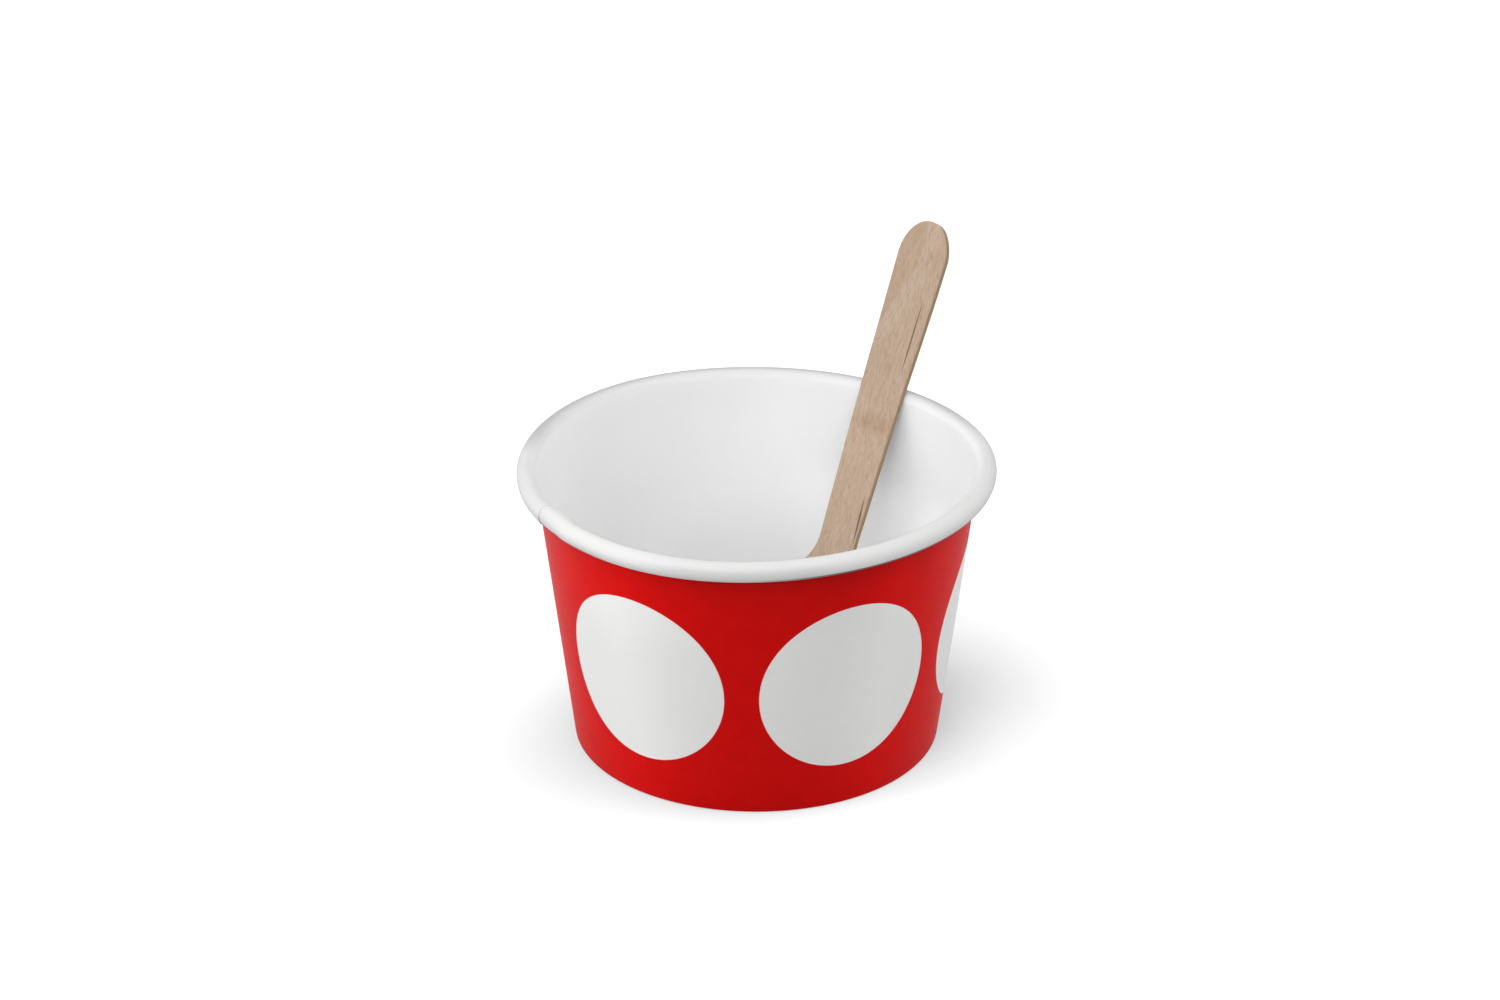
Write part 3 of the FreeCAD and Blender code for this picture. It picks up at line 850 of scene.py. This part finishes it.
def wall_material(surface):
    """Printed board: red ink with white discs outside, white inside and over the rim."""
    material, tree, shader = new_material("printed_paper")
    place = add(tree, "ShaderNodeTexCoord").outputs["Object"]
    board = add(tree, "ShaderNodeGroup", {"node_tree": surface}, {"Place": place}).outputs
    parts = add(tree, "ShaderNodeSeparateXYZ", {}, {"Vector": place}).outputs
    turn = maths(tree, "ARCTAN2", parts["Y"], parts["X"])
    facing = add(tree, "ShaderNodeLayerWeight", {}, {"Blend": 0.5}).outputs["Facing"]
    grain = noise(tree, place, INK_GRAIN_CELLS, 3.0, 0.65)
    white = white_side(tree, place, board, turn, parts["Z"], facing)
    outside = printed_side(tree, place, board, turn, parts["Z"], facing, grain)
    printed = add(tree, "ShaderNodeAttribute", {"attribute_name": "printed"}).outputs["Fac"]
    colour = mix_colour(tree, ramp(tree, printed, *PRINT_END), white, outside)
    height = maths(tree, "MULTIPLY_ADD", grain, INK_HEIGHT, board["Height"])
    finish_shader(tree, shader, colour, board["Roughness"], PAPER_BUMP, height, PRINT_SHINE)
    return material


def disc_material(surface):
    """Plain white board of the bottom."""
    material, tree, shader = new_material("white_paper")
    place = add(tree, "ShaderNodeTexCoord").outputs["Object"]
    board = add(tree, "ShaderNodeGroup", {"node_tree": surface}, {"Place": place}).outputs
    white = mix_colour(tree, board["Tone"], PAPER_WHITE, PAPER_SHADE)
    finish_shader(tree, shader, white, board["Roughness"], PAPER_BUMP, board["Height"],
                  BOTTOM_SHINE)
    return material


# Wood

WOOD_PALE = (0.495, 0.381, 0.290, 1.0)
WOOD_MID = (0.457, 0.333, 0.240, 1.0)
WOOD_DARK = (0.353, 0.236, 0.157, 1.0)
WOOD_EDGE = (0.320, 0.199, 0.112, 1.0)
WOOD_CRACK = (0.135, 0.062, 0.034, 1.0)
# what the wood throws back at its surroundings, so that its shadow stays neutral
WOOD_BOUNCE = (0.46, 0.46, 0.46, 1.0)
# strength, and depth in millimetres
WOOD_BUMP = (0.5, 0.06)
WOOD_SHINE = 0.15
# degrees between the grain and the spoon's length
GRAIN_SLANT = 4.0
# noise cells per metre across the wood, along it and through it
GRAIN_CELLS = (5000, 620, 5000)
STREAK_CELLS = (950, 60, 900)
PORE_CELLS = (3400, 620, 2600)
FIGURE_CELLS = (260, 95, 260)
DRIFT_CELLS = (420, 160, 420)
EDGE_CELLS = (500, 900, 2500)
# Ramps over a noise: from, to, value at the first, value at the second
STREAK_TONE = (0.3, 0.72, 0.0, 0.5)
CLOUD_TONE = (0.3, 0.7, 0.0, 0.5)
GRAIN_TONE = (0.42, 0.68, 0.0, 0.62)
PORE_TONE = (0.62, 0.76, 0.0, 0.34)
BAND_PATCHES = (0.25, 0.55, 0.5, 1.0)
EDGE_PATCHES = (0.25, 0.7, 0.65, 1.0)
GRAIN_ROUGHNESS = (0.3, 0.7, 0.62, 0.78)
PORE_DEPTH = (0.66, 0.78, 0.0, 0.5)
# how dark the band and the marks are, and how much the grain and the cut edge stand out
BAND_SHARE = 0.36
MARK_SHARE = 0.85
GRAIN_HEIGHT = 0.5
EDGE_HEIGHT = 1.2
# depths in millimetres between which the cut edge's tone rises, and falls again
EDGE_RISE = (0.08, 0.20)
EDGE_FALL = (0.98, 1.12)
# Marks of this piece of wood, in millimetres across and along it. A split: its two ends
# and its half width. The knot: its middle and its radius. The band: its middle and reach.
LONG_SPLIT = ((3.62, 62.5), (3.86, 80.5), 0.13)
LOW_SPLIT = ((4.05, 26.5), (3.55, 38.0), 0.17)
SPLIT_SOFT = 0.05
PIN_KNOT = (1.4, 83.0, 0.13)
DARK_BAND = (52.3, 3.2)
# the share of a split's half length that keeps its full width, and where its tips fade
SPLIT_CORE = 0.2
SPLIT_TIP = 0.15
KNOT_CORE = 0.4
KNOT_SHARE = 0.7
# the pale tongue: where its side meets the middle line, how fast the side runs aside, and
# in millimetres past that side, where it sets in, fades and gives way to a darker tone
FIGURE_TOP = 86.0
FIGURE_SLOPE = 0.37
FIGURE_DRIFT = 1.6
TONGUE_RISE = (-0.1, 0.4)
TONGUE_FADE = (1.2, 5.0)
BESIDE_FADE = (-0.3, 0.2)
BESIDE_SHARE = 0.7
TONGUE_FOOT = (60.0, 74.0)


def crack(tree, across, along, start, end, width):
    """1 along a hairline split between two places on the spoon, thinning out at its ends."""
    lean = (end[0] - start[0]) / (end[1] - start[1])
    line = maths(tree, "MULTIPLY_ADD", along, lean, (start[0] - lean * start[1]) * MM)
    off = maths(tree, "ABSOLUTE", maths(tree, "SUBTRACT", across, line))
    middle, reach = (start[1] + end[1]) / 2, (end[1] - start[1]) / 2
    far = maths(tree, "ABSOLUTE", maths(tree, "SUBTRACT", along, middle * MM))
    body = ramp_mm(tree, far, reach * SPLIT_CORE, reach, 1.0, 0.0)
    room = product(tree, body, width * MM)
    inside = ramp_mm(tree, maths(tree, "SUBTRACT", off, room), 0.0, SPLIT_SOFT, 1.0, 0.0)
    return product(tree, inside, ramp(tree, body, 0.0, SPLIT_TIP))


def pin_knot(tree, across, along):
    """The small dark knot, strongest round its middle and gone at its radius."""
    middle_across, middle_along, radius = PIN_KNOT
    spot = add(tree, "ShaderNodeCombineXYZ", {},
               {"X": maths(tree, "SUBTRACT", across, middle_across * MM),
                "Y": maths(tree, "SUBTRACT", along, middle_along * MM)}).outputs[0]
    return ramp_mm(tree, length(tree, spot), radius * KNOT_CORE, radius, KNOT_SHARE, 0.0)


def wood_figure(tree, place, across, along):
    """The broad tones: a pale tongue beside a darker one near the end, a dark band, clouds."""
    wander = noise(tree, stretched(tree, place, DRIFT_CELLS), 1.0)
    drift = maths(tree, "MULTIPLY_ADD", wander, FIGURE_DRIFT * MM, -FIGURE_DRIFT * MM / 2)
    below = maths(tree, "MAXIMUM", maths(tree, "SUBTRACT", FIGURE_TOP * MM, along), 0.0)
    past = maths(tree, "MULTIPLY_ADD", below, FIGURE_SLOPE, maths(tree, "ADD", across, drift))
    tongue = product(tree, ramp_mm(tree, past, *TONGUE_RISE),
                     ramp_mm(tree, past, *TONGUE_FADE, 1.0, 0.0))
    high = ramp_mm(tree, along, *TONGUE_FOOT)
    beside = product(tree, ramp_mm(tree, past, *BESIDE_FADE, BESIDE_SHARE, 0.0), high)
    tongue = maths(tree, "SUBTRACT", product(tree, tongue, high), beside)
    clouds = noise(tree, stretched(tree, place, FIGURE_CELLS), 1.0, 3.0, 0.55)
    middle, reach = DARK_BAND
    above = maths(tree, "SUBTRACT", along, middle * MM)
    gap = maths(tree, "ABSOLUTE", maths(tree, "ADD", above, drift))
    band = product(tree, ramp_mm(tree, gap, 0.0, reach, 1.0, 0.0),
                   ramp(tree, clouds, *BAND_PATCHES))
    return tongue, band, clouds


def wood_material():
    """Pale stamped birch: fine slanted grain, short pores, broad tones, splits, dark edge."""
    material, tree, shader = new_material("birch_wood")
    place = add(tree, "ShaderNodeAttribute", {"attribute_name": "grain"}).outputs["Vector"]
    parts = add(tree, "ShaderNodeSeparateXYZ", {}, {"Vector": place}).outputs
    across, along, depth = parts["X"], parts["Y"], parts["Z"]
    slant = (0.0, 0.0, math.radians(-GRAIN_SLANT))
    turned = add(tree, "ShaderNodeMapping", {}, {"Vector": place, "Rotation": slant}).outputs[0]
    fine = noise(tree, stretched(tree, turned, GRAIN_CELLS), 1.0, 3.0, 0.6)
    streak = noise(tree, stretched(tree, turned, STREAK_CELLS), 1.0, 3.0, 0.55)
    pores = noise(tree, stretched(tree, turned, PORE_CELLS), 1.0, 1.0, 0.4)
    tongue, band, clouds = wood_figure(tree, place, across, along)
    tone = maths(tree, "ADD", ramp(tree, streak, *STREAK_TONE), ramp(tree, clouds, *CLOUD_TONE))
    tone = maths(tree, "SUBTRACT", tone, tongue, clamp=True)
    colour = mix_colour(tree, tone, WOOD_PALE, WOOD_MID)
    dark = maths(tree, "MULTIPLY_ADD", band, BAND_SHARE, ramp(tree, fine, *GRAIN_TONE))
    dark = maths(tree, "ADD", dark, ramp(tree, pores, *PORE_TONE))
    colour = mix_colour(tree, dark, colour, WOOD_DARK)
    # the cut edge is darker than the faces, unevenly along its length
    edge = product(tree, ramp_mm(tree, depth, *EDGE_RISE),
                   ramp_mm(tree, depth, *EDGE_FALL, 1.0, 0.0))
    rough_edge = noise(tree, stretched(tree, place, EDGE_CELLS), 1.0, 3.0, 0.6)
    edge_share = product(tree, edge, ramp(tree, rough_edge, *EDGE_PATCHES))
    colour = mix_colour(tree, edge_share, colour, WOOD_EDGE)
    splits = maths(tree, "MAXIMUM", crack(tree, across, along, *LONG_SPLIT),
                   crack(tree, across, along, *LOW_SPLIT))
    marks = maths(tree, "MAXIMUM", splits, pin_knot(tree, across, along))
    colour = mix_colour(tree, product(tree, marks, MARK_SHARE), colour, WOOD_CRACK)
    bounced = add(tree, "ShaderNodeLightPath").outputs["Is Diffuse Ray"]
    colour = mix_colour(tree, bounced, colour, WOOD_BOUNCE)
    relief = maths(tree, "MULTIPLY_ADD", fine, GRAIN_HEIGHT, streak)
    relief = maths(tree, "MULTIPLY_ADD", product(tree, rough_edge, edge), EDGE_HEIGHT, relief)
    sunk = maths(tree, "ADD", ramp(tree, pores, *PORE_DEPTH), splits)
    height = maths(tree, "SUBTRACT", relief, sunk)
    roughness = ramp(tree, fine, *GRAIN_ROUGHNESS)
    finish_shader(tree, shader, colour, roughness, WOOD_BUMP, height, WOOD_SHINE)
    return material


# Floor, world, lamps and camera

# the floor's half side, and how far it lies under the cup, in metres
FLOOR_HALF = 4.0
FLOOR_DROP = 0.0001
FLOOR_TONE = 0.549
# the glow added to the floor's colour, and how much less of it there is round the cup, as a
# painted shadow
FLOOR_LIFT = 0.61
FLOOR_SHADOW_DIP = 0.371
# the painted shadow's oval in millimetres and degrees
FLOOR_DIP_MIDDLE = (3.3, -1.5, 0.0)
FLOOR_DIP_REACH = (55.4, 35.6, 100.0)
FLOOR_DIP_TURN = 26.2
FLOOR_DIP_POWER = 4.13
# metres from the cup over which the glow rises to full white
FAR_START, FAR_FULL = 0.5, 1.6
WHITE = (1.0, 1.0, 1.0, 1.0)
# the world's light on the cup, and its strength where the camera sees it
WORLD_LIGHT = 0.0
WORLD_SEEN = 1.2


def floor_material():
    """White floor: it shows the cup's soft shadow, deepened by a painted shadow round the cup, and
    clears to white away from it.

    To the camera, and to glossy and transmission rays, it glows by
    lift - dip * exp(-r^power), where r is 1 on an oval whose half axes are the reach,
    turned and set a little off the cup's middle; the dip is a painted shadow. Far beyond
    the picture's edges it glows more, so that it stays white in low views.
    """
    material, tree, shader = new_material("floor_white")
    shader.inputs["Base Color"].default_value = (FLOOR_TONE, FLOOR_TONE, FLOOR_TONE, 1.0)
    shader.inputs["Roughness"].default_value = 1.0
    shader.inputs["Specular IOR Level"].default_value = 0.0
    place = add(tree, "ShaderNodeTexCoord").outputs["Object"]
    oval = add(tree, "ShaderNodeMapping", {"vector_type": "TEXTURE"},
               {"Vector": place, "Location": [side * MM for side in FLOOR_DIP_MIDDLE],
                "Rotation": (0.0, 0.0, math.radians(FLOOR_DIP_TURN)),
                "Scale": [side * MM for side in FLOOR_DIP_REACH]}).outputs[0]
    share = maths(tree, "POWER", length(tree, oval), FLOOR_DIP_POWER)
    dip = maths(tree, "EXPONENT", product(tree, share, -1.0))
    glow = maths(tree, "MULTIPLY_ADD", dip, -FLOOR_SHADOW_DIP,
                 ramp(tree, length(tree, place), FAR_START, FAR_FULL, FLOOR_LIFT, 1.0))
    lift = add(tree, "ShaderNodeEmission", {}, {"Color": WHITE, "Strength": glow})
    path = add(tree, "ShaderNodeLightPath").outputs
    seen = maths(tree, "MAXIMUM", path["Is Camera Ray"],
                 maths(tree, "MAXIMUM", path["Is Glossy Ray"], path["Is Transmission Ray"]))
    both = add(tree, "ShaderNodeAddShader", {}, {0: shader.outputs[0], 1: lift.outputs[0]})
    mix = add(tree, "ShaderNodeMixShader", {},
              {0: seen, 1: shader.outputs[0], 2: both.outputs[0]})
    tree.links.new(mix.outputs[0], tree.nodes["Material Output"].inputs["Surface"])
    return material


def make_stage():
    """A wide white floor under the cup."""
    corners = [(-FLOOR_HALF, -FLOOR_HALF, 0), (FLOOR_HALF, -FLOOR_HALF, 0),
               (FLOOR_HALF, FLOOR_HALF, 0), (-FLOOR_HALF, FLOOR_HALF, 0)]
    mesh = bpy.data.meshes.new("floor")
    mesh.from_pydata(corners, [], [(0, 1, 2, 3)])
    mesh.materials.append(floor_material())
    floor = bpy.data.objects.new("floor", mesh)
    floor.location.z = -FLOOR_DROP
    bpy.context.scene.collection.objects.link(floor)


def make_world():
    """A world without light of its own, plain white where the camera looks past the floor."""
    world = bpy.data.worlds.new("studio")
    world.use_nodes = True
    tree = world.node_tree
    light = tree.nodes["Background"]
    light.inputs["Color"].default_value = WHITE
    light.inputs["Strength"].default_value = WORLD_LIGHT
    seen = add(tree, "ShaderNodeBackground", {}, {"Color": WHITE, "Strength": WORLD_SEEN})
    path = add(tree, "ShaderNodeLightPath").outputs
    mix = add(tree, "ShaderNodeMixShader", {}, {0: path["Is Camera Ray"],
                                                1: light.outputs[0], 2: seen.outputs[0]})
    tree.links.new(mix.outputs[0], tree.nodes["World Output"].inputs["Surface"])
    bpy.context.scene.world = world


# metres from the cup's middle to each soft box, and its side
LAMP_DISTANCE = 1.2
LAMP_SIZE = 1.3
# soft boxes: name, turn round the cup, height angle, power in watts
LAMPS = (
    ("back_left", 130.0, 30.0, 3.50),
    ("left", 180.0, 35.0, 7.50),
    ("left_high", 225.0, 50.0, 3.90),
    ("front_left", 248.0, 28.0, 2.22),
    ("front", 270.0, 38.0, 5.76),
    ("front_high", 284.0, 58.0, 3.98),
    ("right_back", 20.0, 28.0, 9.86),
)


def make_lamps():
    """Soft boxes round the cup, each aimed at its middle."""
    aim = Vector((0, 0, 0.5 * CUP_HEIGHT * MM))
    for name, turn, lift, power in LAMPS:
        data = bpy.data.lights.new(name, "AREA")
        data.shape = "SQUARE"
        data.size = LAMP_SIZE
        data.energy = power
        lamp = bpy.data.objects.new(name, data)
        round_cup, up = math.radians(turn), math.radians(lift)
        away = Vector((math.cos(round_cup) * math.cos(up), math.sin(round_cup) * math.cos(up),
                       math.sin(up)))
        lamp.location = aim + LAMP_DISTANCE * away
        lamp.rotation_euler = (-away).to_track_quat("-Z", "Y").to_euler()
        bpy.context.scene.collection.objects.link(lamp)


# millimetres and degrees, with the lens in its own millimetres
CAMERA_DISTANCE = 811.6
CAMERA_LIFT = 28.82
CAMERA_AIM = (-1.26, 0.0, 50.19)
CAMERA_LENS = 95.16
CAMERA_SENSOR = 36.0
CAMERA_ROLL = -0.04
# metres between which the camera sees
CAMERA_NEAR, CAMERA_FAR = 0.01, 20.0


def make_camera():
    """The photo's view: from the front, about 29 degrees above the table, long lens."""
    data = bpy.data.cameras.new("camera")
    data.lens = CAMERA_LENS
    data.sensor_width = CAMERA_SENSOR
    data.clip_start, data.clip_end = CAMERA_NEAR, CAMERA_FAR
    camera = bpy.data.objects.new("camera", data)
    lift = math.radians(CAMERA_LIFT)
    place = Vector((0, -math.cos(lift), math.sin(lift))) * CAMERA_DISTANCE * MM
    aim = Vector(CAMERA_AIM) * MM
    look = (aim - place).to_track_quat("-Z", "Y").to_matrix().to_4x4()
    roll = Matrix.Rotation(math.radians(CAMERA_ROLL), 4, "Z")
    camera.matrix_world = Matrix.Translation(place) @ look @ roll
    bpy.context.scene.collection.objects.link(camera)
    bpy.context.scene.camera = camera


def main():
    """Dresses the frame: three pieces, the floor, the world, the lamps and the camera."""
    clear_scene()
    bpy.context.scene.view_settings.view_transform = "Standard"
    surface = paper_group()
    make_side_wall(wall_material(surface))
    make_bottom_disc(disc_material(surface))
    make_spoon(wood_material())
    make_stage()
    make_world()
    make_lamps()
    make_camera()


main()
